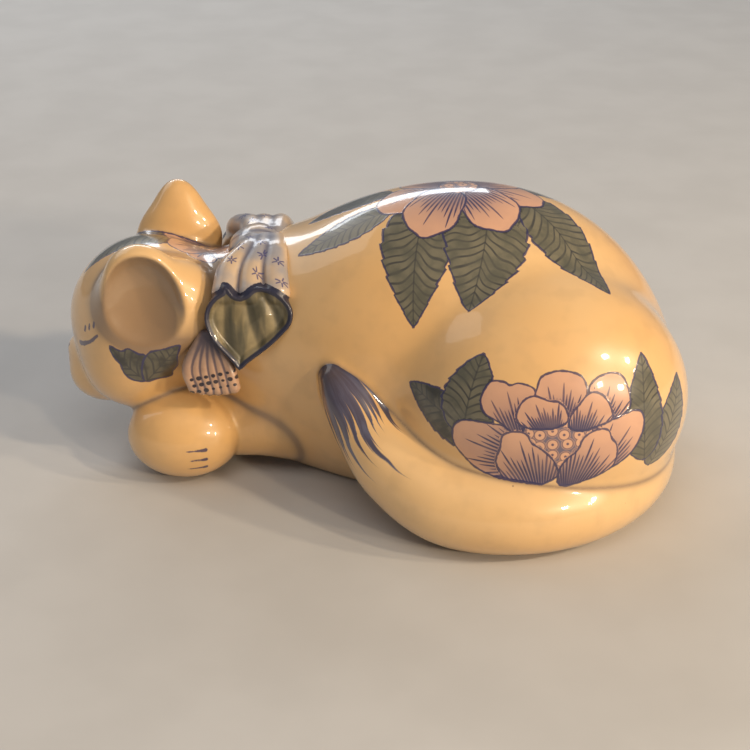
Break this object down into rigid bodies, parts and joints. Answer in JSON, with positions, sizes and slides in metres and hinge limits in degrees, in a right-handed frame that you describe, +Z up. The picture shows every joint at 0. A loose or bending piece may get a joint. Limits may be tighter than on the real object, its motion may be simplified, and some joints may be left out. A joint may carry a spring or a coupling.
{
  "type": "sleeping cat figurine",
  "caption": "Hollow glazed ceramic cat, curled asleep with chin on paw and tail round the front, with a ribbon bow at the nape and painted peonies; stands free as an ornament.",
  "frame": {"origin": "on the flat unglazed foot, below the middle of the length and the line of the spine", "axes": "+X from nose to rump, +Y from the near flank (the cat's left) to the far flank, +Z up from the table"},
  "size_m": [0.179, 0.1031, 0.0847],
  "materials": {
    "painted_glaze": "clear gloss glaze over hand-painted cream slip",
    "bare_clay": "unglazed fired clay",
    "silver_glaze": "gloss glaze over pale grey slip with blue sprigs",
    "pink_glaze": "gloss glaze over pink slip with dark dots"
  },
  "bodies": {
    "root": {"body_left_half": "painted_glaze", "body_right_half": "painted_glaze", "base_slab": "bare_clay", "head_shell": "painted_glaze", "left_ear": "painted_glaze", "right_ear": "painted_glaze", "left_foreleg": "painted_glaze", "right_foreleg": "painted_glaze", "tail": "painted_glaze", "bow_knot": "silver_glaze", "left_bow_loop": "silver_glaze", "left_ribbon_end": "pink_glaze", "right_bow_loop": "silver_glaze", "right_ribbon_end": "pink_glaze"}
  },
  "joints": []
}
